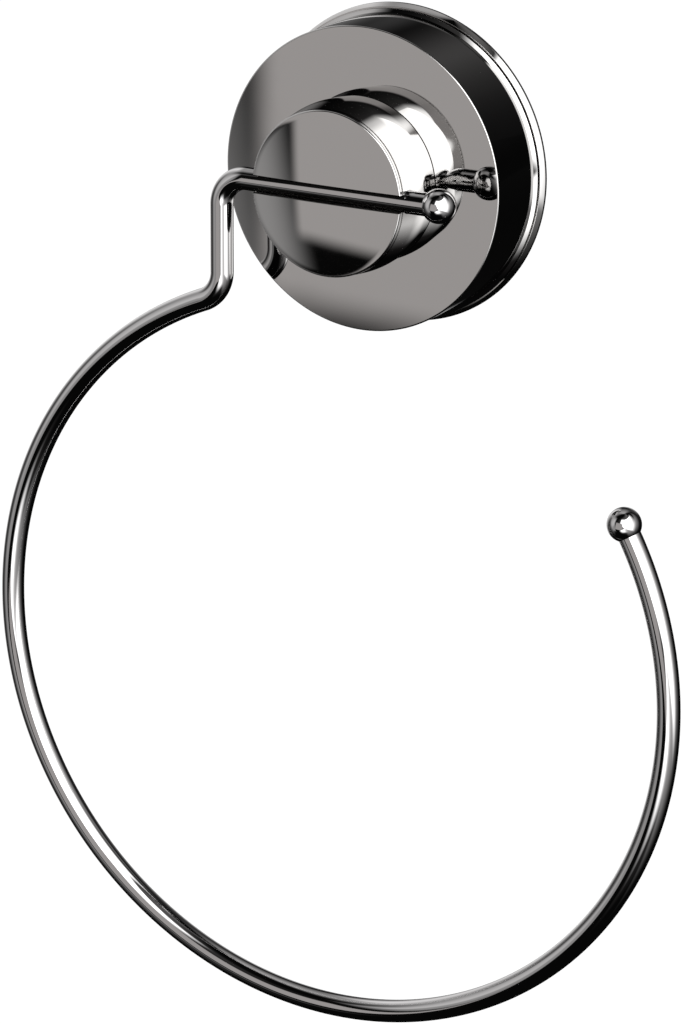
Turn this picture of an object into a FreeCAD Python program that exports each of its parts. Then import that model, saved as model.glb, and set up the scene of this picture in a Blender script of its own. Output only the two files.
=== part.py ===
import FreeCAD, Part
import math
import os

from FreeCAD import Vector

# A wall-mounted towel ring: a bent wire hangs in the slot of a turning knob, on a suction base.
# All sizes are in millimetres. The wall is the plane y = 0 and the object stands out towards -Y.
# Turned pieces are drawn as profiles of (radius, distance from the wall) and then turned onto the wall.

# Cover
COVER_R = 33.0
COVER_DEPTH = 19.0           # front face to wall
COVER_WALL = 2.0
COVER_CROWN = 0.3            # the polished face is domed by this much
COVER_EDGE = 0.5             # bright chamfer round the front face
BEAD_ROUND = 0.7             # quarter-round where the cover flares over the base ring
BEAD_LAND = 0.3              # straight edge under the quarter-round
REBATE = 0.6                 # the cover's seat on the base ring lies this far inside its side
RIB_COUNT = 6
RIB_WIDTH = 1.4
RIB_BOTTOM = 11.2
GUIDE_WALL = 2.4             # boss that guides the stem
GUIDE_CLEAR = 0.8            # start of the stem's flats to the boss

# Base ring
BASE_STEP = 1.8              # how far it stands out beyond the cover's side
BASE_WALL = 3.2
BASE_EDGE = 0.3
BASE_ROUND = 1.1
BASE_SHOULDER = 1.8
GROOVE = 0.5                 # open height of the dark groove between base ring and cover
SEAT_DEPTH = 1.3             # how far the base ring reaches up inside the cover's edge
SPIGOT_HEIGHT = 2.9
SPIGOT_WALL = 1.4
FLANGE_REACH = 4.6           # flange that holds down the cup's edge
FLANGE_THICK = 1.5

# Suction cup
CUP_GAP = 0.3                # cup to base ring
CUP_LIP = 0.5                # thickness at the lip's edge
CUP_RISE = 3.0               # hollow under the middle of the cup, drawn up
CUP_SKIN = 1.9
CUP_FILLET = 1.0
BOSS_WALL = 2.8              # vinyl round the stem's foot
BOSS_CAP = 2.5               # vinyl above it
BOSS_EDGE = 0.5
FOOT_COVER = 2.0             # vinyl under it

# Stem and cross pin
STEM_R = 4.0
STEM_ACROSS = 6.2            # across the two flats that keep the stem from turning
STEM_NECK = 0.5              # round part left between the cup and the flats
STEM_BEYOND = 0.4            # metal beyond the pin
STEM_EDGE = 0.5
FOOT_RIM = 2.2
FOOT_THICK = 1.8
GUIDE_GAP = 0.2              # stem to the hole that it slides in
PIN_D = 3.0
PIN_END_GAP = 1.1            # end of the pin to the cam ring's wall
PIN_EDGE = 0.3

# Knob
KNOB_BASE_R = 18.3
KNOB_CREST = 5.0             # back of the knob to its widest part
KNOB_CREST_ROUND = 20.0      # radius of the side's rounding there
KNOB_BACK_SLOPE = 6.0        # degrees that the side draws in towards the cover
KNOB_FACE_SLOPE = 6.5        # degrees that it draws in towards the face
KNOB_CROWN = 0.4             # the face is domed by this much
KNOB_EDGE = 0.45
KNOB_BACK_GAP = 0.3          # back of the knob to the cover
KNOB_WALL = 4.3              # side of the knob round the cam ring
POCKET_GAP = 0.3             # tip of the stem to the pocket above it
POCKET_ROOF = 1.05           # between the pocket and the bar's bore
BAR_DEPTH = 3.3              # bar's axis behind the knob's face
BAR_GAP = 0.05               # running clearance round the bar
MOUTH_GRIP = 1.2             # the mouth is this much narrower than the wire, so the bar can't fall out
MOUTH_EDGE = 0.25

# Cam ring and thrust washer
CAM_WALL = 2.4               # outside of the pin's track
CAM_HOLE_GAP = 0.6           # stem to the hole in the cam ring
CAM_HEIGHT = 6.3
CAM_STOP_HEIGHT = 5.7
CAM_FLOOR = 0.7              # under the low end of a ramp
CAM_LIFT = 2.0               # how far a quarter turn draws the stem out
CAM_TURN = 90.0
CAM_PIN_GAP = 0.1            # pin to ramp
CAM_SIDE_GAP = 0.26          # pin to the stop at either end of a ramp
WASHER_THICK = 1.0
WASHER_GAP = 0.2             # washer to the recess in the cover

# Wire and ring
WIRE_D = 5.0
BALL_D = 7.4
BEND_R = 5.2                 # centreline radius of both tight bends
BALL_CLEAR = 3.3             # ball on the bar's end to the knob
BEND_CLEAR = 3.9             # start of the top bend to the knob
LEG_LENGTH = 17.5            # straight part of the short upright leg
RING_R = 82.0                # centreline radius of the large loop
RING_OFFSET = -0.7           # centre of the loop, sideways from the knob's axis
RING_END_ANGLE = 30.6        # where the open end stops, degrees above the ring's right-hand side

OVERCUT = 1.0                # how far cutting shapes reach past what they cut

# Radii
WIRE_R = WIRE_D / 2
BALL_R = BALL_D / 2
PIN_R = PIN_D / 2
BAR_BORE_R = WIRE_R + BAR_GAP
COVER_INNER_R = COVER_R - COVER_WALL
REBATE_R = COVER_R - REBATE
BASE_R = COVER_R + BASE_STEP
BASE_INNER_R = BASE_R - BASE_WALL
FLANGE_R = BASE_INNER_R - FLANGE_REACH
FOOT_R = STEM_R + FOOT_RIM
BOSS_R = FOOT_R + BOSS_WALL
GUIDE_R = STEM_R + GUIDE_GAP + GUIDE_WALL
CAM_R = KNOB_BASE_R - KNOB_WALL
CAM_TRACK_R = CAM_R - CAM_WALL
CAM_HOLE_R = STEM_R + CAM_HOLE_GAP
RECESS_R = CAM_R + WASHER_GAP
PIN_HALF = CAM_TRACK_R - PIN_END_GAP

# Heights from the wall, upwards through the stack
SKIRT = BASE_SHOULDER + GROOVE
SEAT = SKIRT + SEAT_DEPTH
FLANGE_BOTTOM = SEAT - FLANGE_THICK
COVER_INNER_TOP = COVER_DEPTH - COVER_WALL
FOOT_BOTTOM = CUP_RISE + FOOT_COVER
FOOT_TOP = FOOT_BOTTOM + FOOT_THICK
BOSS_TOP = FOOT_TOP + BOSS_CAP
FLAT_START = BOSS_TOP + STEM_NECK
GUIDE_BOTTOM = FLAT_START + GUIDE_CLEAR
KNOB_BACK = COVER_DEPTH + COVER_CROWN + KNOB_BACK_GAP
WASHER_FLOOR = KNOB_BACK - WASHER_THICK
CAM_RUN_OUT = math.degrees(math.asin((PIN_R + CAM_SIDE_GAP) / CAM_HOLE_R))
CAM_LEAD = CAM_LIFT * 360 / CAM_TURN
RAMP_START = KNOB_BACK + CAM_FLOOR
PIN_OUT = RAMP_START + CAM_LEAD * CAM_RUN_OUT / 360 + CAM_LIFT + CAM_PIN_GAP + PIN_R
STEM_TOP = PIN_OUT + PIN_R + STEM_BEYOND
POCKET_TOP = STEM_TOP + POCKET_GAP
CAM_TOP = KNOB_BACK + CAM_HEIGHT
CAM_STOP_TOP = KNOB_BACK + CAM_STOP_HEIGHT
BAR_OUT = POCKET_TOP + POCKET_ROOF + BAR_BORE_R
KNOB_FACE = BAR_OUT + BAR_DEPTH

# Route of the wire, seen from the front
BAR_BALL_X = KNOB_BASE_R + BALL_CLEAR + BALL_R
TOP_BEND = (-(KNOB_BASE_R + BEND_CLEAR), -BEND_R)
LOW_BEND = (TOP_BEND[0] - 2 * BEND_R, -BEND_R - LEG_LENGTH)
RING_DROP = math.sqrt((RING_R + BEND_R) ** 2 - (LOW_BEND[0] - RING_OFFSET) ** 2)
RING_CENTRE = (RING_OFFSET, LOW_BEND[1] - RING_DROP)

OUT = Vector(0, 0, 1)
CENTRE = Vector(0, 0, 0)


def profile_point(pair):
    return Vector(pair[0], 0, pair[1])


def turned(start, *moves):
    """Solid turned about the axis from a closed profile. A move is a point, or (through, end) for an arc."""
    edges = []
    here = profile_point(start)
    for move in moves:
        if isinstance(move[0], tuple):
            through = profile_point(move[0])
            there = profile_point(move[1])
            edges.append(Part.Arc(here, through, there).toShape())
        else:
            there = profile_point(move)
            edges.append(Part.makeLine(here, there))
        here = there
    edges.append(Part.makeLine(here, profile_point(start)))
    return Part.Face(Part.Wire(edges)).revolve(CENTRE, OUT, 360)


def rounded_corner(centre, radius, start_degrees, end_degrees):
    """The two points (through, end) of an arc on a profile."""
    middle = math.radians((start_degrees + end_degrees) / 2)
    last = math.radians(end_degrees)
    through = (centre[0] + radius * math.cos(middle), centre[1] + radius * math.sin(middle))
    end = (centre[0] + radius * math.cos(last), centre[1] + radius * math.sin(last))
    return through, end


def dome_point(rim_r, rim_out, rise, r):
    """The point at radius r on the profile of a shallow dome, which stands out by rise over its rim."""
    sphere_r = (rim_r ** 2 + rise ** 2) / (2 * rise)
    return r, rim_out + rise - sphere_r + math.sqrt(sphere_r ** 2 - r ** 2)


def flat_sided_rod(radius, across, bottom, top):
    """A round rod with two flats, the section of the stem where it must not turn."""
    rod = Part.makeCylinder(radius, top - bottom, Vector(0, 0, bottom), OUT)
    slab = Part.makeBox(across, 2 * radius, top - bottom, Vector(-across / 2, -radius, bottom))
    return rod.common(slab)


def on_wall(shape):
    """Turn a piece drawn outwards along Z so that it stands out from the wall along -Y."""
    placed = shape.copy()
    placed.rotate(CENTRE, Vector(1, 0, 0), 90)
    return placed


def cover_shell():
    bead_centre = (COVER_R, SKIRT + BEAD_LAND)
    bead_top = (COVER_R, bead_centre[1] + BEAD_ROUND)
    bead_through, bead_end = rounded_corner(bead_centre, BEAD_ROUND, 90, 0)
    face_r = COVER_R - COVER_EDGE
    face_start = dome_point(face_r, COVER_DEPTH, COVER_CROWN, RECESS_R)
    face_through = dome_point(face_r, COVER_DEPTH, COVER_CROWN, (RECESS_R + face_r) / 2)
    shell = turned(
        (0, WASHER_FLOOR),
        (RECESS_R, WASHER_FLOOR),
        face_start,
        (face_through, (face_r, COVER_DEPTH)),
        (COVER_R, COVER_DEPTH - COVER_EDGE),
        bead_top,
        (bead_through, bead_end),
        (bead_end[0], SKIRT),
        (REBATE_R, SKIRT),
        (REBATE_R, SEAT),
        (COVER_INNER_R, SEAT),
        (COVER_INNER_R, COVER_INNER_TOP),
        (GUIDE_R, COVER_INNER_TOP),
        (GUIDE_R, GUIDE_BOTTOM),
        (0, GUIDE_BOTTOM),
    )
    # The ribs run from the middle of the boss's wall to the middle of the side
    rib_start = GUIDE_R - GUIDE_WALL / 2
    rib_length = COVER_R - COVER_WALL / 2 - rib_start
    rib_height = COVER_INNER_TOP + (WASHER_FLOOR - COVER_INNER_TOP) / 2 - RIB_BOTTOM
    for number in range(RIB_COUNT):
        rib = Part.makeBox(rib_length, RIB_WIDTH, rib_height, Vector(rib_start, -RIB_WIDTH / 2, RIB_BOTTOM))
        rib.rotate(CENTRE, OUT, number * 360 / RIB_COUNT)
        shell = shell.fuse(rib)
    hole = flat_sided_rod(STEM_R + GUIDE_GAP, STEM_ACROSS + 2 * GUIDE_GAP, 0, KNOB_BACK)
    return shell.cut(hole).removeSplitter()


def base_ring():
    edge_centre = (BASE_R - BASE_EDGE, BASE_EDGE)
    round_centre = (BASE_R - BASE_ROUND, BASE_SHOULDER - BASE_ROUND)
    spigot_top = SEAT + SPIGOT_HEIGHT
    return turned(
        (BASE_INNER_R, 0),
        (BASE_R - BASE_EDGE, 0),
        rounded_corner(edge_centre, BASE_EDGE, -90, 0),
        (BASE_R, round_centre[1]),
        rounded_corner(round_centre, BASE_ROUND, 0, 90),
        (REBATE_R, BASE_SHOULDER),
        (REBATE_R, SEAT),
        (COVER_INNER_R, SEAT),
        (COVER_INNER_R, spigot_top),
        (COVER_INNER_R - SPIGOT_WALL, spigot_top),
        (COVER_INNER_R - SPIGOT_WALL, SEAT),
        (FLANGE_R, SEAT),
        (FLANGE_R, FLANGE_BOTTOM),
        (BASE_INNER_R, FLANGE_BOTTOM),
    )


def stem_foot():
    """The round lower end of the stem, which the cup is moulded on."""
    foot = Part.makeCylinder(FOOT_R, FOOT_THICK, Vector(0, 0, FOOT_BOTTOM), OUT)
    neck = Part.makeCylinder(STEM_R, FLAT_START - FOOT_TOP, Vector(0, 0, FOOT_TOP), OUT)
    return foot.fuse(neck)


def suction_cup():
    lip_r = BASE_INNER_R - CUP_GAP
    lip_top = FLANGE_BOTTOM - CUP_GAP
    skin_top = CUP_RISE + CUP_SKIN
    blank = turned(
        (0, CUP_RISE),
        (dome_point(lip_r, 0, CUP_RISE, lip_r / 2), (lip_r, 0)),
        (lip_r, CUP_LIP),
        (lip_r - lip_top, lip_top),
        (FLANGE_R - CUP_GAP, lip_top),
        (BOSS_R + CUP_FILLET, skin_top),
        (BOSS_R, skin_top + CUP_FILLET),
        (BOSS_R, BOSS_TOP - BOSS_EDGE),
        (BOSS_R - BOSS_EDGE, BOSS_TOP),
        (0, BOSS_TOP),
    )
    return blank.cut(stem_foot())


def cup_stem():
    rod = flat_sided_rod(STEM_R, STEM_ACROSS, FLAT_START, STEM_TOP)
    # A long cone over the rod gives its tip a 45-degree chamfer
    tip = Part.makeCone(STEM_R + STEM_TOP, STEM_R - STEM_EDGE, STEM_TOP + STEM_EDGE)
    pin_hole = Part.makeCylinder(PIN_R, 2 * STEM_R, Vector(0, -STEM_R, PIN_OUT), Vector(0, 1, 0))
    return stem_foot().fuse(rod.common(tip)).cut(pin_hole).removeSplitter()


def cross_pin():
    pin = Part.makeCylinder(PIN_R, 2 * PIN_HALF, Vector(0, -PIN_HALF, PIN_OUT), Vector(0, 1, 0))
    return pin.makeChamfer(PIN_EDGE, [edge for edge in pin.Edges if edge.Curve.TypeId == "Part::GeomCircle"])


def ramp_room():
    """The space over one helical ramp: what the pin's end sweeps while the knob turns."""
    turn = CAM_TURN + 2 * CAM_RUN_OUT
    rise = CAM_LEAD * turn / 360
    start_angle = 90 - CAM_TURN - CAM_RUN_OUT
    inner = Part.makeHelix(CAM_LEAD, rise, CAM_HOLE_R / 2).Edges[0]
    outer = Part.makeHelix(CAM_LEAD, rise, CAM_TRACK_R).Edges[0]
    surface = Part.makeRuledSurface(inner, outer)
    room = Part.Solid(surface.extrude(Vector(0, 0, CAM_HEIGHT + OVERCUT)))
    room.rotate(CENTRE, OUT, start_angle)
    room.translate(Vector(0, 0, RAMP_START))
    return room


def cam_ring():
    ring = turned(
        (CAM_HOLE_R, KNOB_BACK),
        (CAM_R, KNOB_BACK),
        (CAM_R, CAM_TOP),
        (CAM_TRACK_R, CAM_TOP),
        (CAM_TRACK_R, CAM_STOP_TOP),
        (CAM_HOLE_R, CAM_STOP_TOP),
    )
    for half_turn in (0, 180):
        room = ramp_room()
        room.rotate(CENTRE, OUT, half_turn)
        ring = ring.cut(room)
    return ring


def thrust_washer():
    return turned(
        (CAM_HOLE_R, WASHER_FLOOR),
        (CAM_R, WASHER_FLOOR),
        (CAM_R, KNOB_BACK),
        (CAM_HOLE_R, KNOB_BACK),
    )


def knob_drum():
    # The side draws in from its widest part both ways, in two cones joined by a rounding
    back_slope = math.radians(KNOB_BACK_SLOPE)
    crest_out = KNOB_BACK + KNOB_CREST
    round_start = crest_out - KNOB_CREST_ROUND * math.sin(back_slope)
    round_start_r = KNOB_BASE_R + (round_start - KNOB_BACK) * math.tan(back_slope)
    round_centre = (round_start_r - KNOB_CREST_ROUND * math.cos(back_slope), crest_out)
    rounding = rounded_corner(round_centre, KNOB_CREST_ROUND, -KNOB_BACK_SLOPE, KNOB_FACE_SLOPE)
    round_end_r, round_end = rounding[1]
    side_end = KNOB_FACE - KNOB_EDGE
    side_end_r = round_end_r - (side_end - round_end) * math.tan(math.radians(KNOB_FACE_SLOPE))
    face_r = side_end_r - KNOB_EDGE
    drum = turned(
        (CAM_R, KNOB_BACK),
        (KNOB_BASE_R, KNOB_BACK),
        (round_start_r, round_start),
        rounding,
        (side_end_r, side_end),
        (face_r, KNOB_FACE),
        (dome_point(face_r, KNOB_FACE, KNOB_CROWN, face_r / 2), (0, KNOB_FACE + KNOB_CROWN)),
        (0, POCKET_TOP),
        (CAM_TRACK_R, POCKET_TOP),
        (CAM_TRACK_R, CAM_TOP),
        (CAM_R, CAM_TOP),
    )
    # The slot for the bar is a round bore with a narrower mouth that opens through the face
    end = KNOB_BASE_R + OVERCUT
    half = (WIRE_D - MOUTH_GRIP) / 2
    mouth_height = KNOB_FACE + KNOB_CROWN + OVERCUT - BAR_OUT
    bore = Part.makeCylinder(BAR_BORE_R, 2 * end, Vector(-end, 0, BAR_OUT), Vector(1, 0, 0))
    mouth = Part.makeBox(2 * end, 2 * half, mouth_height, Vector(-end, -half, BAR_OUT))
    drum = drum.cut(bore.fuse(mouth))
    mouth_edges = [
        edge for edge in drum.Edges
        if abs(abs(edge.CenterOfMass.y) - half) < 0.001 and edge.CenterOfMass.z > KNOB_FACE
    ]
    return drum.makeChamfer(MOUTH_EDGE, mouth_edges)


def on_circle(centre, radius, degrees):
    """A point of the wire's centreline, which lies in one plane parallel to the wall."""
    angle = math.radians(degrees)
    return Vector(centre[0] + radius * math.cos(angle), -BAR_OUT, centre[1] + radius * math.sin(angle))


def centreline_arc(centre, radius, first, last):
    start = on_circle(centre, radius, first)
    through = on_circle(centre, radius, (first + last) / 2)
    end = on_circle(centre, radius, last)
    return Part.Arc(start, through, end).toShape()


def ring_wire():
    """Bar, tight bend, upright leg, tight bend and the open loop, as one bent wire."""
    bar_start = Vector(BAR_BALL_X, -BAR_OUT, 0)
    bar_end = on_circle(TOP_BEND, BEND_R, 90)
    leg_start = on_circle(TOP_BEND, BEND_R, 180)
    leg_end = on_circle(LOW_BEND, BEND_R, 0)
    # The low bend and the loop touch where the line between their centres crosses them
    join = math.degrees(math.atan2(RING_DROP, LOW_BEND[0] - RING_OFFSET))
    ring_end = 360 + RING_END_ANGLE
    ring_middle = (join + ring_end) / 2
    route = Part.Wire([
        Part.makeLine(bar_start, bar_end),
        centreline_arc(TOP_BEND, BEND_R, 90, 180),
        Part.makeLine(leg_start, leg_end),
        centreline_arc(LOW_BEND, BEND_R, 0, join - 180),
        centreline_arc(RING_CENTRE, RING_R, join, ring_middle),
        centreline_arc(RING_CENTRE, RING_R, ring_middle, ring_end),
    ])
    section = Part.Wire([Part.makeCircle(WIRE_R, bar_start, Vector(1, 0, 0))])
    return route.makePipeShell([section], True, False)


def end_ball(centre, wire):
    """A turned ball with a blind bore that takes the wire's end."""
    ball = Part.makeSphere(BALL_R)
    ball.translate(centre)
    return ball.cut(wire)


def build():
    wire = ring_wire()
    return {
        "cover_shell": on_wall(cover_shell()),
        "base_ring": on_wall(base_ring()),
        "thrust_washer": on_wall(thrust_washer()),
        "suction_cup": on_wall(suction_cup()),
        "cup_stem": on_wall(cup_stem()),
        "cross_pin": on_wall(cross_pin()),
        "knob_drum": on_wall(knob_drum()),
        "cam_ring": on_wall(cam_ring()),
        "ring_wire": wire,
        "bar_end_ball": end_ball(Vector(BAR_BALL_X, -BAR_OUT, 0), wire),
        "ring_end_ball": end_ball(on_circle(RING_CENTRE, RING_R, RING_END_ANGLE), wire),
    }


os.makedirs("parts", exist_ok=True)
for name, shape in build().items():
    print(name, shape.isValid(), len(shape.Solids), round(shape.Volume, 1))
    shape.exportStep(os.path.join("parts", name + ".step"))
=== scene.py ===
import math

import bmesh
import bpy
from mathutils import Euler, Matrix, Vector


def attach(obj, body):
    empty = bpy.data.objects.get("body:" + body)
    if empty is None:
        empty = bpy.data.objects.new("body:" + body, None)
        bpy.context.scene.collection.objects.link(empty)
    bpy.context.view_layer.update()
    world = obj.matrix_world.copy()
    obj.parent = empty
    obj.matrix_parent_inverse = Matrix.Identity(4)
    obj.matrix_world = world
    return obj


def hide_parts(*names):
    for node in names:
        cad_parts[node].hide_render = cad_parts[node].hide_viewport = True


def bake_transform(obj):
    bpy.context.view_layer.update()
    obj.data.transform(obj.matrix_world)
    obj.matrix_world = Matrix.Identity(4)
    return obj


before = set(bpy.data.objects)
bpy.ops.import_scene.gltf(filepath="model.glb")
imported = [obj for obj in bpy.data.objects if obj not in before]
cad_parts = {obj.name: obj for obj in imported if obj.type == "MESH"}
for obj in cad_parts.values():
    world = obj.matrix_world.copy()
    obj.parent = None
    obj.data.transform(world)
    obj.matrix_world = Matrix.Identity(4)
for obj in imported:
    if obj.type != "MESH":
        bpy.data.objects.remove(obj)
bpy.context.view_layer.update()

# Camera: it stands about a metre off, to the right of the ring and above it, and looks at it through a long
# lens. Where it stands was worked out from the round outlines of base, knob and ring in the photograph.

CAMERA_DISTANCE = 1.0088
CAMERA_AZIMUTH = 29.689          # degrees round the ring, from straight in front towards its right
CAMERA_ELEVATION = 17.970
CAMERA_ROLL = 0.301
CAMERA_ASIDE = -0.0130           # aim, measured along the picture's width from the knob's foot
CAMERA_BELOW = -0.07556          # aim, measured along the picture's height
LENS_MM = 164.47
SENSOR_MM = 36.0

azimuth = math.radians(CAMERA_AZIMUTH)
elevation = math.radians(CAMERA_ELEVATION)
towards = Vector((
    math.sin(azimuth) * math.cos(elevation),
    -math.cos(azimuth) * math.cos(elevation),
    math.sin(elevation),
))
rightward = Vector((math.cos(azimuth), math.sin(azimuth), 0))
upward = towards.cross(rightward)

camera_data = bpy.data.cameras.new("camera")
camera_data.lens = LENS_MM
camera_data.sensor_width = SENSOR_MM
camera_data.sensor_fit = "AUTO"
camera_data.clip_start = 0.05
camera_data.clip_end = 60
camera = bpy.data.objects.new("camera", camera_data)
bpy.context.scene.collection.objects.link(camera)
camera.location = rightward * CAMERA_ASIDE + upward * CAMERA_BELOW + towards * CAMERA_DISTANCE
level = (-towards).to_track_quat("-Z", "Y").to_matrix()
roll = Euler((0, 0, math.radians(CAMERA_ROLL))).to_matrix()
camera.rotation_euler = (level @ roll).to_euler()
bpy.context.scene.camera = camera
bpy.context.scene.view_settings.view_transform = "Standard"

# Studio ground: white paper under the ring and white all round it, with one large soft box on the right.
# The paper keeps the ring's shadow, and metal and glass see the same white behind the ring.

FLOOR_HEIGHT = -0.60
FLOOR_HALF = 6.0
GROUND_LIGHT = 0.75              # level of the white ground as a light, beside 1 where it is looked at
PAPER_GLOW = 0.85                # share of the paper's look that is even white, to keep the shadow pale
PAPER_LEVEL = 1.1
KEY_SIDE = 1.6
KEY_WATTS = 22
KEY_PLACE = Vector((1.5, -1.6, 1.2))
KEY_AIM = Vector((0, 0, -0.1))


def linear(hex_colour, level=1.0):
    """Linear red, green and blue of an sRGB hex colour, times a level."""
    shares = [int(hex_colour[i:i + 2], 16) / 255 for i in (1, 3, 5)]
    return [level * (s / 12.92 if s <= 0.04045 else ((s + 0.055) / 1.055) ** 2.4) for s in shares] + [1.0]


def add_node(tree, kind, inputs=(), **settings):
    """Adds a node to a tree, with its settings, and its inputs as values or as another node's output."""
    node = tree.nodes.new("ShaderNode" + kind)
    for name, value in settings.items():
        setattr(node, name, value)
    for key, value in dict(inputs).items():
        if isinstance(value, bpy.types.NodeSocket):
            tree.links.new(value, node.inputs[key])
        else:
            node.inputs[key].default_value = value
    return node


def new_material(name):
    """An empty material and its node tree."""
    material = bpy.data.materials.new(name)
    material.use_nodes = True
    material.node_tree.nodes.clear()
    return material, material.node_tree


def new_piece(name, mesh):
    """Turns a bmesh into an object at the origin."""
    data = bpy.data.meshes.new(name)
    mesh.to_mesh(data)
    mesh.free()
    piece = bpy.data.objects.new(name, data)
    bpy.context.scene.collection.objects.link(piece)
    return piece


world = bpy.data.worlds.new("white_ground")
bpy.context.scene.world = world
world.use_nodes = True
tree = world.node_tree
tree.nodes.clear()
path = add_node(tree, "LightPath")
seen = path.outputs["Is Camera Ray"]
for kind in ("Is Glossy Ray", "Is Transmission Ray"):
    seen = add_node(tree, "Math", {0: seen, 1: path.outputs[kind]}, operation="MAXIMUM").outputs[0]
strength = add_node(tree, "MapRange", {"Value": seen, "To Min": GROUND_LIGHT, "To Max": 1.0})
ground = add_node(tree, "Background", {"Color": linear("#FFFFFF"), "Strength": strength.outputs[0]})
add_node(tree, "OutputWorld", {"Surface": ground.outputs[0]})

floor_mesh = bmesh.new()
bmesh.ops.create_grid(floor_mesh, x_segments=1, y_segments=1, size=FLOOR_HALF)
bmesh.ops.translate(floor_mesh, verts=floor_mesh.verts, vec=(0, 0, FLOOR_HEIGHT))
floor = new_piece("floor", floor_mesh)
floor_paper, tree = new_material("white_paper_floor")
paper = add_node(tree, "BsdfDiffuse", {"Color": linear("#F4F4F3")})
white = add_node(tree, "Emission", {"Color": linear("#FFFFFF"), "Strength": PAPER_LEVEL})
mixed = add_node(tree, "MixShader", {"Fac": PAPER_GLOW, 1: paper.outputs[0], 2: white.outputs[0]})
add_node(tree, "OutputMaterial", {"Surface": mixed.outputs[0]})
floor.data.materials.append(floor_paper)
floor.visible_glossy = False

soft_box = bpy.data.lights.new("key_soft_box", "AREA")
soft_box.shape = "RECTANGLE"
soft_box.size = KEY_SIDE
soft_box.size_y = KEY_SIDE
soft_box.energy = KEY_WATTS
key = bpy.data.objects.new("key_soft_box", soft_box)
bpy.context.scene.collection.objects.link(key)
key.location = KEY_PLACE
key.rotation_euler = (KEY_PLACE - KEY_AIM).to_track_quat("Z", "Y").to_euler()
key.visible_glossy = False

# Light tent: dark cloth all round, that only polished metal shows, with soft boxes and grey cards hung in
# it. They give the chrome the white, grey and black bands of the photograph. A card's sides are given as
# seen from the ring: azimuth from straight in front towards its right, and elevation, in degrees.

TENT_RADIUS = 9.0
SEAM_TURN = 30.0                 # brings the seam of the angles into a dark part behind the ring
CHROME_REFLECTS = 0.52           # share of the light that the chrome sends back

tent_mesh = bmesh.new()
bmesh.ops.create_icosphere(tent_mesh, subdivisions=4, radius=TENT_RADIUS)
tent = new_piece("light_tent", tent_mesh)
tent.visible_camera = False
tent.visible_diffuse = False
tent.visible_transmission = False
tent.visible_volume_scatter = False
tent.visible_shadow = False

tent_cloth, tree = new_material("light_tent_cloth")
tent_cloth.cycles.emission_sampling = "NONE"
place = add_node(tree, "TexCoord")
direction = add_node(tree, "VectorMath", {0: place.outputs["Object"]}, operation="NORMALIZE")
turned_round = add_node(
    tree, "VectorRotate",
    {"Vector": direction.outputs[0], "Angle": math.radians(SEAM_TURN)},
    rotation_type="Z_AXIS",
)
parts = add_node(tree, "SeparateXYZ", {0: turned_round.outputs[0]})
forward = add_node(tree, "Math", {0: parts.outputs["Y"], 1: -1.0}, operation="MULTIPLY")
angle = add_node(tree, "Math", {0: parts.outputs["X"], 1: forward.outputs[0]}, operation="ARCTAN2")
round_angle = add_node(
    tree, "Math",
    {0: angle.outputs[0], 1: math.degrees(1), 2: -SEAM_TURN},
    operation="MULTIPLY_ADD",
).outputs[0]
raised = add_node(tree, "Math", {0: parts.outputs["Z"]}, operation="ARCSINE").outputs[0]
high_angle = add_node(tree, "Math", {0: raised, 1: math.degrees(1)}, operation="MULTIPLY").outputs[0]


def edge(along, across, at, soft, slant, rising):
    """A soft straight edge: 1 on one side of it, 0 on the other. Slant is its lean in degrees per degree."""
    leaned = add_node(tree, "Math", {0: across, 1: -slant, 2: along}, operation="MULTIPLY_ADD")
    ramp = {
        "Value": leaned.outputs[0],
        "From Min": at - soft / 2,
        "From Max": at + soft / 2,
        "To Min": 0.0 if rising else 1.0,
        "To Max": 1.0 if rising else 0.0,
    }
    return add_node(tree, "MapRange", ramp, interpolation_type="SMOOTHSTEP").outputs[0]


def hang(behind, hex_seen, left, right, low, high, level=1.0):
    """Hangs a soft box or card in front of what hangs there. Each side is (angle, softness, slant)."""
    mask = edge(round_angle, high_angle, *left, rising=True)
    for side in (
        edge(round_angle, high_angle, *right, rising=False),
        edge(high_angle, round_angle, *low, rising=True),
        edge(high_angle, round_angle, *high, rising=False),
    ):
        mask = add_node(tree, "Math", {0: mask, 1: side}, operation="MULTIPLY").outputs[0]
    shown = linear(hex_seen, level / CHROME_REFLECTS)
    return add_node(tree, "Mix", {0: mask, 6: behind, 7: shown}, data_type="RGBA").outputs[2]


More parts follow.
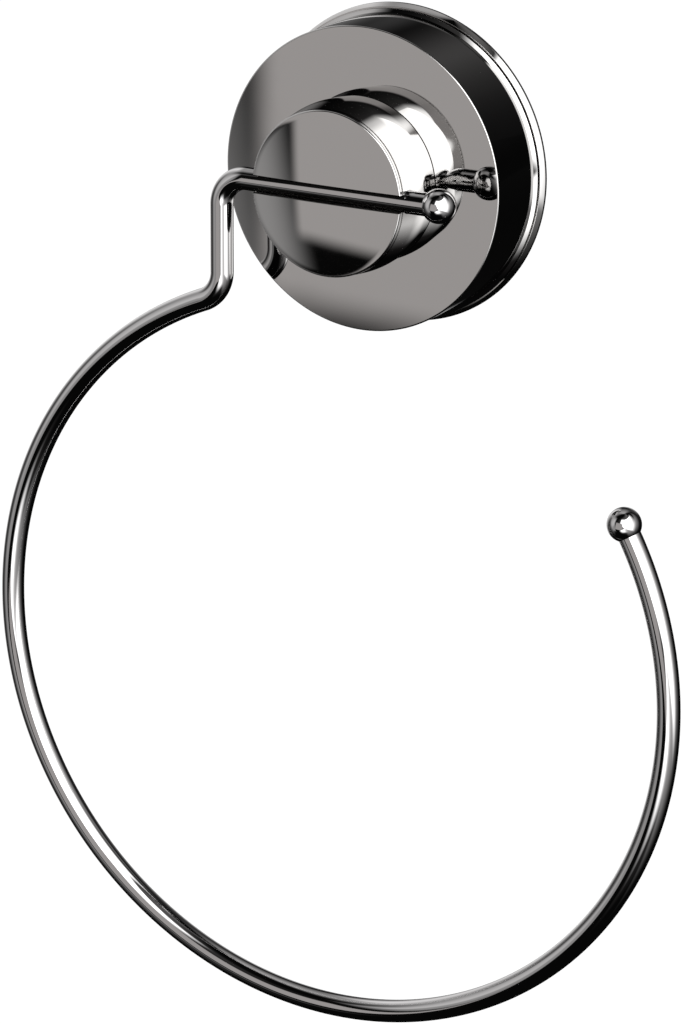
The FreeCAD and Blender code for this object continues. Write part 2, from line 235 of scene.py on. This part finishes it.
cloth = add_node(tree, "RGB")
cloth.outputs[0].default_value = linear("#060606", 1 / CHROME_REFLECTS)
glow = cloth.outputs[0]
for hex_seen, left, right, low, high, level in (
    # High sheet at the back left
    ("#9C9B9B", (-188.4, 38.8, -0.07), (-84.8, 57.6, 0.09), (19.6, 67.8, -0.25), (87.5, 10.7, -0.00), 1.0),
    # Dim sheet behind
    ("#515050", (-191.2, 61.5, 0.10), (-152.3, 24.7, -0.66), (-5.5, 78.9, -0.11), (59.4, 27.0, 0.09), 1.0),
    # Leaning strip light at the back left
    ("#DAD9D9", (-139.1, 27.1, 0.14), (-115.1, 66.8, 0.40), (-51.0, 8.9, -0.15), (64.9, 14.9, 0.14), 1.0),
    # Low sheet behind it
    ("#F9F9F9", (-166.5, 32.9, -0.90), (-153.7, 13.0, -0.06), (-54.8, 18.8, 0.12), (-6.0, 48.5, -0.04), 1.0),
    # Dim far part of the left card
    ("#B3B2B2", (-62.6, 72.5, -0.17), (-45.0, 7.7, 0.03), (-9.9, 79.4, 0.14), (31.6, 22.6, -0.09), 1.0),
    # Left card
    ("#D1D0D0", (-69.6, 16.7, -0.54), (-35.6, 4.5, -0.13), (-2.6, 79.7, -0.01), (7.2, 77.8, -0.08), 1.0),
    # Its folded foot
    ("#848383", (-50.0, 15.0, 0.0), (-35.6, 4.5, -0.13), (-27.0, 10.0, 0.0), (-5.0, 14.0, 0.0), 1.0),
    # Grey card in front
    ("#949190", (-31.6, 1.0, 0.05), (39.4, 5.6, 0.27), (-21.2, 1.3, -0.13), (21.4, 6.8, 0.03), 1.0),
    # Dim card under it
    ("#1E1D1D", (-34.0, 12.4, -0.82), (36.8, 20.3, -0.31), (-41.0, 14.5, -0.20), (-28.2, 10.9, 1.10), 1.0),
    # White strip over the front
    ("#FFFFFF", (-2.7, 12.5, 0.08), (38.3, 13.9, -0.27), (21.5, 2.1, -0.12), (47.8, 11.0, 0.08), 1.6),
    # White sheet low in front
    ("#FFFFFF", (-17.7, 24.7, -0.83), (33.8, 30.0, -0.34), (-35.7, 19.2, 0.11), (-23.8, 3.3, 0.48), 1.5),
    # Low sheet on the right
    ("#AFAEAE", (5.3, 26.4, -1.10), (110.0, 79.7, 0.38), (-40.1, 79.6, 0.13), (-34.2, 22.9, 0.60), 1.0),
    # High sheet on the right
    ("#5D5C5C", (3.1, 78.0, -0.42), (106.0, 26.4, -0.13), (34.5, 25.1, 0.40), (42.0, 52.0, 0.70), 1.0),
    # Large soft box on the right
    ("#FFFFFF", (18.6, 0.9, -0.41), (82.0, 58.5, 0.21), (3.0, 10.2, -0.33), (40.7, 6.8, 0.23), 2.0),
):
    glow = hang(glow, hex_seen, left, right, low, high, level)
shine = add_node(tree, "Emission", {"Color": glow, "Strength": 1.0})
add_node(tree, "OutputMaterial", {"Surface": shine.outputs[0]})
tent.data.materials.append(tent_cloth)

# Cover: a deep round shell die-cast in zinc, polished and chrome plated, that the suction base hides in.
# Its face is slightly domed by the polishing, with a fine round edge, and its lower edge flares into a small
# sloped bead. Inside are the boss that guides the stem, and six ribs. All sizes here are in millimetres.

MM = 0.001
TURN_STEPS = 256
ROUND_STEPS = 10
COVER_R = 33.12
COVER_DEPTH = 18.55
COVER_CROWN = 0.3
CROWN_STEPS = 12
COVER_EDGE = 0.28
SUPPORT = 0.05                   # corners this close to a rounding keep the surface beside it straight
RECESS_R = 14.2
RECESS_OUT = 18.45
COVER_INNER_R = 31.0
COVER_INNER_TOP = 17.0
REBATE_R = 32.4
SKIRT = 2.3
SEAT = 3.6
BEAD_R = 33.95
BEAD_TOP = 2.75
BEAD_LIP = 0.1
BEAD_LAND = 0.04
INNER_ROUND = 0.8
GUIDE_EDGE = 0.3
GUIDE_HOLE_R = 4.2
GUIDE_R = 6.6
GUIDE_BOTTOM = 10.6
RIB_COUNT = 6
RIB_WIDTH = 1.4
RIB_BOTTOM = 11.2
RIB_TOP = 17.8


def domed(rim_r, rim_out, rise, radii):
    """Corners of a turned outline along a shallow dome, at these radii."""
    ball_r = (rim_r ** 2 + rise ** 2) / (2 * rise)
    return [(r, rim_out + rise - ball_r + math.sqrt(ball_r ** 2 - r ** 2), 0) for r in radii]


def spread(first, last, steps):
    """Even steps from first to last, with both."""
    return [first + (last - first) * i / steps for i in range(steps + 1)]


def turned_mesh(corners):
    """A bmesh turned round the mounting axis. A corner is (radius, distance from the wall, rounding)."""
    mesh = bmesh.new()
    points = [mesh.verts.new((r * MM, -out * MM, 0)) for r, out, _ in corners]
    for here, there in zip(points, points[1:] + points[:1]):
        mesh.edges.new((here, there))
    for point, (_, _, rounding) in zip(points, corners):
        if rounding:
            bmesh.ops.bevel(
                mesh, geom=[point], offset=rounding * MM, offset_type="OFFSET", segments=ROUND_STEPS,
                profile=0.5, affect="VERTICES", material=-1,
            )
    bmesh.ops.spin(
        mesh, geom=mesh.verts[:] + mesh.edges[:], cent=(0, 0, 0), axis=(0, 1, 0), dvec=(0, 0, 0),
        angle=math.tau, steps=TURN_STEPS, use_merge=True, use_duplicate=False,
    )
    bmesh.ops.remove_doubles(mesh, verts=mesh.verts, dist=1e-6)
    bmesh.ops.dissolve_degenerate(mesh, dist=1e-7, edges=mesh.edges)
    bmesh.ops.recalc_face_normals(mesh, faces=mesh.faces)
    return mesh


def smoothed(piece, corner_degrees=24):
    """Shades a piece smooth up to its sharp corners."""
    piece.data.shade_smooth()
    piece.data.set_sharp_from_angle(angle=math.radians(corner_degrees))


cover_mesh = turned_mesh(
    [(GUIDE_HOLE_R, RECESS_OUT, 0), (RECESS_R, RECESS_OUT, 0)]
    + domed(COVER_R, COVER_DEPTH, COVER_CROWN, spread(RECESS_R, COVER_R - COVER_EDGE - SUPPORT, CROWN_STEPS))
    + [
        (COVER_R, COVER_DEPTH, COVER_EDGE),
        (COVER_R, COVER_DEPTH - COVER_EDGE - SUPPORT, 0),
        (COVER_R, BEAD_TOP, 0),
        (BEAD_R, SKIRT + BEAD_LAND, BEAD_LIP),
        (BEAD_R - BEAD_LIP, SKIRT, 0),
        (REBATE_R, SKIRT, 0),
        (REBATE_R, SEAT, 0),
        (COVER_INNER_R, SEAT, 0),
        (COVER_INNER_R, COVER_INNER_TOP, INNER_ROUND),
        (GUIDE_R, COVER_INNER_TOP, INNER_ROUND),
        (GUIDE_R, GUIDE_BOTTOM, GUIDE_EDGE),
        (GUIDE_HOLE_R, GUIDE_BOTTOM, 0),
    ]
)
rib_start = (GUIDE_HOLE_R + GUIDE_R) / 2
rib_end = (COVER_INNER_R + COVER_R) / 2
for number in range(RIB_COUNT):
    rib = bmesh.ops.create_cube(cover_mesh, size=MM)["verts"]
    rib_middle = ((rib_end + rib_start) / 2 * MM, -(RIB_TOP + RIB_BOTTOM) / 2 * MM, 0)
    round_turn = Matrix.Rotation(math.tau * number / RIB_COUNT, 3, "Y")
    bmesh.ops.scale(cover_mesh, verts=rib, vec=(rib_end - rib_start, RIB_TOP - RIB_BOTTOM, RIB_WIDTH))
    bmesh.ops.translate(cover_mesh, verts=rib, vec=rib_middle)
    bmesh.ops.rotate(cover_mesh, verts=rib, cent=(0, 0, 0), matrix=round_turn)
cover = new_piece("cover", cover_mesh)
smoothed(cover)
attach(cover, "base")
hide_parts("cover_shell")

# Bright decorative chrome over polished zinc: a nearly perfect, cool grey mirror. The plating follows the
# polisher's faint waves, which bend the edges of what it mirrors a little, and a trace of wiping haze blurs
# them here and there.

POLISH = 0.5                     # width of the finest polishing marks
POLISH_HEIGHT = 0.00002
CLEAN_BELOW = 0.35               # the haze starts at this share of its pattern and is full at the next one
HAZY_ABOVE = 0.75


def plated_metal(name, hex_colour, wave, wave_height, haze, clean_rough, hazy_rough):
    """Chrome plate with waves and patches of haze of these sizes, and a roughness between these two."""
    material, tree = new_material(name)
    place = add_node(tree, "TexCoord").outputs["Object"]
    patches = add_node(tree, "TexNoise", {"Vector": place, "Scale": 1 / (haze * MM), "Detail": 3.0})
    rough = add_node(tree, "MapRange", {
        "Value": patches.outputs[0],
        "From Min": CLEAN_BELOW,
        "From Max": HAZY_ABOVE,
        "To Min": clean_rough,
        "To Max": hazy_rough,
    })
    waves = add_node(tree, "TexNoise", {"Vector": place, "Scale": 1 / (wave * MM), "Detail": 0.0})
    marks = add_node(tree, "TexNoise", {"Vector": place, "Scale": 1 / (POLISH * MM), "Detail": 2.0})
    fine = add_node(tree, "Bump", {
        "Height": marks.outputs[0],
        "Strength": 1.0,
        "Distance": POLISH_HEIGHT * MM,
    })
    bump = add_node(tree, "Bump", {
        "Height": waves.outputs[0],
        "Strength": 1.0,
        "Distance": wave_height * MM,
        "Normal": fine.outputs[0],
    })
    shader = add_node(tree, "BsdfPrincipled", {
        "Base Color": linear(hex_colour),
        "Metallic": 1.0,
        "Roughness": rough.outputs[0],
        "Normal": bump.outputs[0],
    })
    add_node(tree, "OutputMaterial", {"Surface": shader.outputs[0]})
    return material


bright_chrome = plated_metal(
    "bright_chrome_on_polished_zinc", "#C0BFBE",
    wave=9.0, wave_height=0.002, haze=14.0, clean_rough=0.012, hazy_rough=0.04,
)
cover.data.materials.append(bright_chrome)

# Base ring: the second, larger bead at the wall, turned and plated like the cover. The cover is pressed on
# its spigot and leaves an open dark groove between the two beads. Its flange inside holds down the cup's
# edge.

BASE_R = 34.95
BASE_INNER_R = 31.6
BASE_SIDE = 0.7                  # height of the straight side below the bead's slope
BASE_SLOPE_IN = 0.76             # how far the slope draws in towards the groove
BASE_SHOULDER = 1.8
BASE_EDGE = 0.2
SPIGOT_TOP = 6.5
SPIGOT_INNER_R = 29.6
FLANGE_R = 27.0
FLANGE_BOTTOM = 2.1

base_ring = new_piece("base_bead", turned_mesh([
    (BASE_INNER_R, 0, 0.1),
    (BASE_R, 0, BASE_EDGE),
    (BASE_R, BASE_SIDE, 0.15),
    (BASE_R - BASE_SLOPE_IN, BASE_SHOULDER, 0.05),
    (REBATE_R, BASE_SHOULDER, 0),
    (REBATE_R, SEAT, 0),
    (COVER_INNER_R, SEAT, 0),
    (COVER_INNER_R, SPIGOT_TOP, BASE_EDGE),
    (SPIGOT_INNER_R, SPIGOT_TOP, BASE_EDGE),
    (SPIGOT_INNER_R, SEAT, 0),
    (FLANGE_R, SEAT, BASE_EDGE),
    (FLANGE_R, FLANGE_BOTTOM, BASE_EDGE),
    (BASE_INNER_R, FLANGE_BOTTOM, 0),
]))
smoothed(base_ring)
base_ring.data.materials.append(bright_chrome)
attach(base_ring, "base")
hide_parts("base_ring")

# Knob: a drum die-cast in zinc, its side gently barrelled and its face domed by the polishing, and chrome
# plated. A fine groove is turned behind its face. The slot across it is a round bore for the bar with a
# narrower mouth, whose edges are broken with a fine chamfer.

KNOB_BACK = 18.98
KNOB_BASE_R = 18.235
CREST_OUT = 24.9
CREST_ROUND = 24.0
CREST_STEPS = 10
BACK_SLOPE = 6.0
FACE_SLOPE = 6.5
KNOB_FACE = 33.5
KNOB_CROWN = 0.4
FACE_STEPS = 15
KNOB_EDGE = 0.3
GROOVE_TOP = 32.6
GROOVE = 0.4
GROOVE_DEPTH = 0.35
CAM_R = 14.0
CAM_TRACK_R = 11.6
CAM_TOP = 25.9
POCKET_TOP = 26.6
BAR_OUT = 30.2
BORE_R = 2.55
MOUTH_HALF = 1.9
MOUTH_EDGE = 0.1
SLOT_BEYOND = 1.1                # how far the cutter reaches out of the knob's foot at both ends
SLOT_STEPS = 24
MOUTH_OPENS = 4                  # the cutter opens by this many chamfers, so that it ends above the face
MOST_SUNK = 1.2                  # the chamfer's corners sink by at most this share of the face's dome
BORE_STEPS = 56

low = math.radians(BACK_SLOPE)
high = math.radians(FACE_SLOPE)
crest_start_out = CREST_OUT - CREST_ROUND * math.sin(low)
crest_start_r = KNOB_BASE_R + (crest_start_out - KNOB_BACK) * math.tan(low)
crest_middle_r = crest_start_r - CREST_ROUND * math.cos(low)
side_end = KNOB_FACE - KNOB_EDGE
groove_corners = [
    (0, GROOVE_TOP - GROOVE),
    (GROOVE_DEPTH, GROOVE_TOP - GROOVE),
    (GROOVE_DEPTH, GROOVE_TOP),
    (0, GROOVE_TOP),
]


def side_r(out):
    """The knob's radius on the straight stretch between the barrelled crest and the face."""
    slope_start = CREST_OUT + CREST_ROUND * math.sin(high)
    return crest_middle_r + CREST_ROUND * math.cos(high) - (out - slope_start) * math.tan(high)


face_r = side_r(side_end) - KNOB_EDGE
knob = new_piece("knob", turned_mesh(
    [(CAM_R, KNOB_BACK, 0), (KNOB_BASE_R, KNOB_BACK, 0)]
    + [
        (crest_middle_r + CREST_ROUND * math.cos(a), CREST_OUT + CREST_ROUND * math.sin(a), 0)
        for a in spread(-low, high, CREST_STEPS)
    ]
    + [(side_r(out) - deep, out, 0) for deep, out in groove_corners]
    + [(side_r(side_end - SUPPORT), side_end - SUPPORT, 0), (side_r(KNOB_FACE), KNOB_FACE, KNOB_EDGE)]
    + domed(face_r, KNOB_FACE, KNOB_CROWN, [face_r - SUPPORT] + spread(face_r - 1, 0, FACE_STEPS))
    + [(0, POCKET_TOP, 0), (CAM_TRACK_R, POCKET_TOP, 0), (CAM_TRACK_R, CAM_TOP, 0), (CAM_R, CAM_TOP, 0)]
))

slot_mesh = bmesh.new()
slot_end = KNOB_BASE_R + SLOT_BEYOND
mouth_angle = math.asin(MOUTH_HALF / BORE_R)
chamfer_start = KNOB_FACE + KNOB_CROWN - MOUTH_EDGE
chamfer_end = chamfer_start + MOUTH_OPENS * MOUTH_EDGE
open_half = MOUTH_HALF + MOUTH_OPENS * MOUTH_EDGE
outline = [
    (BORE_R * math.sin(a), BAR_OUT + BORE_R * math.cos(a))
    for a in spread(mouth_angle, math.tau - mouth_angle, BORE_STEPS)
]
outline += [
    (-MOUTH_HALF, chamfer_start),
    (-open_half, chamfer_end),
    (open_half, chamfer_end),
    (MOUTH_HALF, chamfer_start),
]
slot_face = slot_mesh.faces.new([
    slot_mesh.verts.new((-slot_end * MM, -out * MM, z * MM)) for z, out in outline
])
for step in range(SLOT_STEPS):
    pushed = bmesh.ops.extrude_face_region(slot_mesh, geom=[slot_face])["geom"]
    if step:
        slot_mesh.faces.remove(slot_face)
    slot_face = next(item for item in pushed if isinstance(item, bmesh.types.BMFace))
    bmesh.ops.translate(slot_mesh, verts=slot_face.verts, vec=(2 * slot_end / SLOT_STEPS * MM, 0, 0))

# The chamfer follows the domed face, so its corners sink towards the knob's side
for corner in slot_mesh.verts:
    if -corner.co.y > (BAR_OUT + BORE_R) * MM:
        way_out = (corner.co.x ** 2 + (MOUTH_HALF * MM) ** 2) / (face_r * MM) ** 2
        corner.co.y += KNOB_CROWN * MM * min(MOST_SUNK, way_out)
bmesh.ops.recalc_face_normals(slot_mesh, faces=slot_mesh.faces)
# Faces inside the bore take the second material, whose near-black colour is painted shade; the chamfers keep
# the bright chrome.
for side in slot_mesh.faces:
    side.material_index = int(-side.calc_center_median().y < chamfer_start * MM)
slot = new_piece("slot_cutter", slot_mesh)

# Rougher plate in the bore, where the polishing wheel doesn't get in; its near-black colour is painted shade
# for the shadowed inside of the slot beside the mirror faces. The chamfers are bright like the outside.
bore_plate_with_painted_shade = plated_metal(
    "dull_plate_with_painted_shade_in_the_bore", "#3C3B3A",
    wave=9.0, wave_height=0.002, haze=14.0, clean_rough=0.30, hazy_rough=0.45,
)
for piece in (knob, slot):
    piece.data.materials.append(bright_chrome)
    piece.data.materials.append(bore_plate_with_painted_shade)
cut = knob.modifiers.new("slot", "BOOLEAN")
cut.operation = "DIFFERENCE"
cut.solver = "EXACT"
cut.object = slot
bpy.context.view_layer.update()
cut_knob = knob.evaluated_get(bpy.context.evaluated_depsgraph_get())
cut_mesh = bpy.data.meshes.new_from_object(cut_knob)
knob.modifiers.clear()
knob.data = cut_mesh
bpy.data.objects.remove(slot)
smoothed(knob, corner_degrees=20)
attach(knob, "knob")
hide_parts("knob_drum")

# Ring: one length of 5 mm steel wire, polished, bent cold to bar, upright leg and open loop, and chrome
# plated. It is bent here as on the bench: straight run, tight bend, straight run, tight bend back, and the
# large loop.

WIRE_R = 2.5
LEG_X = -27.4
TOP_BEND_R = 6.2
LOW_BEND_R = 7.4
RING_R = 82.0
BAR_BALL_X = 25.3
RING_CENTRE = (-0.7, -103.856)
RING_END_ANGLE = 30.6
WIRE_SIDES = 96
TOP_BEND_STEPS = 30
LOW_BEND_STEPS = 28
LOOP_STEPS = 280

wire_mesh = bmesh.new()
bmesh.ops.create_circle(wire_mesh, cap_ends=False, segments=WIRE_SIDES, radius=WIRE_R * MM)
across_bar = Matrix.Rotation(math.pi / 2, 3, "Y")
bmesh.ops.rotate(wire_mesh, verts=wire_mesh.verts, cent=(0, 0, 0), matrix=across_bar)
bmesh.ops.translate(wire_mesh, verts=wire_mesh.verts, vec=(BAR_BALL_X * MM, -BAR_OUT * MM, 0))
section = wire_mesh.verts[:] + wire_mesh.edges[:]


def run_straight(section, vec):
    """Lengthens the wire by a straight run."""
    edges = [item for item in section if isinstance(item, bmesh.types.BMEdge)]
    pushed = bmesh.ops.extrude_edge_only(wire_mesh, edges=edges)["geom"]
    ends = [item for item in pushed if isinstance(item, bmesh.types.BMVert)]
    bmesh.ops.translate(wire_mesh, verts=ends, vec=vec)
    edges = [item for item in pushed if isinstance(item, bmesh.types.BMEdge)]
    return ends + [edge for edge in edges if all(end in ends for end in edge.verts)]


def run_bend(section, centre, degrees, steps):
    """Bends the wire on round a centre, seen from the front; a positive angle is anticlockwise there."""
    bent = bmesh.ops.spin(
        wire_mesh, geom=section, cent=(centre[0] * MM, -BAR_OUT * MM, centre[1] * MM), axis=(0, -1, 0),
        dvec=(0, 0, 0), angle=math.radians(degrees), steps=steps, use_merge=False, use_duplicate=False,
    )
    return bent["geom_last"]


# The low bend touches the leg's line and the loop's circle, so its centre follows from both
top_bend = (LEG_X + TOP_BEND_R, -TOP_BEND_R)
low_bend_aside = LEG_X - LOW_BEND_R - RING_CENTRE[0]
low_bend_above = math.sqrt((RING_R + LOW_BEND_R) ** 2 - low_bend_aside ** 2)
low_bend = (RING_CENTRE[0] + low_bend_aside, RING_CENTRE[1] + low_bend_above)
join = math.degrees(math.atan2(low_bend_above, low_bend_aside))
section = run_straight(section, ((top_bend[0] - BAR_BALL_X) * MM, 0, 0))
section = run_bend(section, top_bend, 90, TOP_BEND_STEPS)
section = run_straight(section, (0, 0, (low_bend[1] - top_bend[1]) * MM))
section = run_bend(section, low_bend, join - 180, LOW_BEND_STEPS)
section = run_bend(section, RING_CENTRE, 360 + RING_END_ANGLE - join, LOOP_STEPS)
bmesh.ops.holes_fill(wire_mesh, edges=wire_mesh.edges, sides=0)
bmesh.ops.recalc_face_normals(wire_mesh, faces=wire_mesh.faces)
wire = new_piece("bent_wire", wire_mesh)
smoothed(wire, corner_degrees=40)
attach(wire, "ring")
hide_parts("ring_wire")

# Bright chrome over polished steel wire: as bright a mirror as the plate on the cover, with the short
# ripples that drawing and bending leave.

bright_wire = plated_metal(
    "bright_chrome_on_polished_wire", "#C1C0C0",
    wave=5.0, wave_height=0.001, haze=22.0, clean_rough=0.015, hazy_rough=0.05,
)
wire.data.materials.append(bright_wire)

# Balls: turned steel with a blind bore, pressed on the wire's two ends after it is bent, and plated with it.
# One stops the bar in its bore beside the knob, the other rounds off the loop's open end.

BALL_R = 3.7
BALL_SIDES = 96

end_angle = math.radians(RING_END_ANGLE)
ring_end = (
    RING_CENTRE[0] + RING_R * math.cos(end_angle),
    RING_CENTRE[1] + RING_R * math.sin(end_angle),
)
for name, node, (x, z) in (
    ("ball_on_bar", "bar_end_ball", (BAR_BALL_X, 0)),
    ("ball_on_loop", "ring_end_ball", ring_end),
):
    ball_mesh = bmesh.new()
    bmesh.ops.create_uvsphere(
        ball_mesh, u_segments=BALL_SIDES, v_segments=BALL_SIDES // 2, radius=BALL_R * MM,
    )
    bmesh.ops.translate(ball_mesh, verts=ball_mesh.verts, vec=(x * MM, -BAR_OUT * MM, z * MM))
    ball = new_piece(name, ball_mesh)
    smoothed(ball, corner_degrees=60)
    ball.data.materials.append(bright_wire)
    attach(ball, "ring")
    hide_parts(node)

# Suction cup: soft clear vinyl, moulded round the stem's foot. Its rim stays under the base ring's flange
# and its middle stands drawn out towards the stem in a fixed shallow dome. The vinyl is slightly milky, with
# a cloudy sheen, and fine rings near its lip seal it.

CUP_LIP_R = 31.3
CUP_LIP = 0.5
CUP_RISE = 3.0
CUP_STEPS = 24
CUP_BEVEL = 1.8                  # width and height of the sloped edge that the flange holds down
UNDER_FLANGE = 0.3
BOSS_R = 9.0
BOSS_TOP = 9.3
SKIN_TOP = 4.9
SEAL_PITCH = 0.9
SEAL_HEIGHT = 0.12
SEAL_START_R = 24.5
SEAL_FULL_R = 26.0
CLOUD = 7.0                      # width of the clouds in the vinyl

cup = new_piece("clear_suction_cup", turned_mesh(
    domed(CUP_LIP_R, 0, CUP_RISE, spread(0, CUP_LIP_R, CUP_STEPS))
    + [
        (CUP_LIP_R, CUP_LIP, 0),
        (CUP_LIP_R - CUP_BEVEL, CUP_BEVEL, 0.6),
        (FLANGE_R - UNDER_FLANGE, CUP_BEVEL, 0.5),
        (BOSS_R, SKIN_TOP, 1.0),
        (BOSS_R, BOSS_TOP, 0.5),
        (0, BOSS_TOP, 0),
    ]
))
smoothed(cup, corner_degrees=30)
soft_vinyl, tree = new_material("clear_soft_moulded_vinyl")
place = add_node(tree, "TexCoord").outputs["Object"]
spot = add_node(tree, "SeparateXYZ", {0: place})
flat = add_node(tree, "CombineXYZ", {"X": spot.outputs["X"], "Z": spot.outputs["Z"]})
reach = add_node(tree, "VectorMath", {0: flat.outputs[0]}, operation="LENGTH").outputs["Value"]
rings = add_node(tree, "Math", {0: reach, 1: math.tau / (SEAL_PITCH * MM)}, operation="MULTIPLY")
ripple = add_node(tree, "Math", {0: rings.outputs[0]}, operation="SINE")
near_lip = add_node(tree, "MapRange", {
    "Value": reach,
    "From Min": SEAL_START_R * MM,
    "From Max": SEAL_FULL_R * MM,
    "To Max": 1.0,
})
sealing = add_node(tree, "Math", {0: ripple.outputs[0], 1: near_lip.outputs[0]}, operation="MULTIPLY")
cloud = add_node(tree, "TexNoise", {"Vector": place, "Scale": 1 / (CLOUD * MM), "Detail": 4.0})
milky = add_node(tree, "MixRGB", {"Fac": cloud.outputs[0], 1: linear("#E6ECEA"), 2: linear("#F3F5F3")})
matt = add_node(tree, "MapRange", {"Value": cloud.outputs[0], "To Min": 0.12, "To Max": 0.34})
bump = add_node(tree, "Bump", {"Height": sealing.outputs[0], "Strength": 0.6, "Distance": SEAL_HEIGHT * MM})
shader = add_node(tree, "BsdfPrincipled", {
    "Base Color": milky.outputs[0],
    "Roughness": matt.outputs[0],
    "IOR": 1.53,
    "Transmission Weight": 0.72,
    "Subsurface Weight": 0.25,
    "Subsurface Scale": 2 * MM,
    "Normal": bump.outputs[0],
})
add_node(tree, "OutputMaterial", {"Surface": shader.outputs[0]})
cup.data.materials.append(soft_vinyl)
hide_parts("suction_cup")
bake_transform(cup)

# Works inside: a stem die-cast in zinc, its ground steel pin, and cam ring and washer moulded in natural
# acetal. The zinc is left as cast, grainy and grey, the pin is finely ground, and the acetal has a waxy
# sheen.

CLOUD_GRAINS = 12                # a cloud of lighter or darker colour is this many grains across


def inner_material(name, dark, light, grain, grain_height, low_rough, high_rough, metallic, **sockets):
    """A grainy material between two colours and two roughnesses, with any other sockets of the shader."""
    material, tree = new_material(name)
    place = add_node(tree, "TexCoord").outputs["Object"]
    grains = add_node(tree, "TexNoise", {"Vector": place, "Scale": 1 / (grain * MM), "Detail": 5.0})
    clouds = add_node(tree, "TexNoise", {
        "Vector": place,
        "Scale": 1 / (CLOUD_GRAINS * grain * MM),
        "Detail": 3.0,
    })
    colour = add_node(tree, "MixRGB", {"Fac": clouds.outputs[0], 1: linear(dark), 2: linear(light)})
    rough = add_node(tree, "MapRange", {
        "Value": grains.outputs[0],
        "To Min": low_rough,
        "To Max": high_rough,
    })
    bump = add_node(tree, "Bump", {
        "Height": grains.outputs[0],
        "Strength": 1.0,
        "Distance": grain_height * MM,
    })
    shader = add_node(tree, "BsdfPrincipled", {
        "Base Color": colour.outputs[0],
        "Metallic": metallic,
        "Roughness": rough.outputs[0],
        "Normal": bump.outputs[0],
    })
    for socket, value in sockets.items():
        shader.inputs[socket.replace("_", " ")].default_value = value
    add_node(tree, "OutputMaterial", {"Surface": shader.outputs[0]})
    return material


as_cast_zinc = inner_material(
    "as_cast_zinc", "#9A9C9F", "#B4B6B8",
    grain=0.3, grain_height=0.03, low_rough=0.38, high_rough=0.62, metallic=1.0,
)
ground_steel = inner_material(
    "ground_steel_pin", "#A9ABAD", "#C4C5C6",
    grain=0.15, grain_height=0.005, low_rough=0.18, high_rough=0.36, metallic=1.0,
)
waxy_acetal = inner_material(
    "moulded_natural_acetal", "#E6E3DB", "#F1EFE9",
    grain=0.5, grain_height=0.01, low_rough=0.30, high_rough=0.46, metallic=0.0,
    IOR=1.48, Subsurface_Weight=0.3, Subsurface_Scale=0.6 * MM,
)
for name, material in (
    ("cup_stem", as_cast_zinc),
    ("cross_pin", ground_steel),
    ("cam_ring", waxy_acetal),
    ("thrust_washer", waxy_acetal),
):
    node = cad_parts[name]
    node.data.materials.clear()
    node.data.materials.append(material)
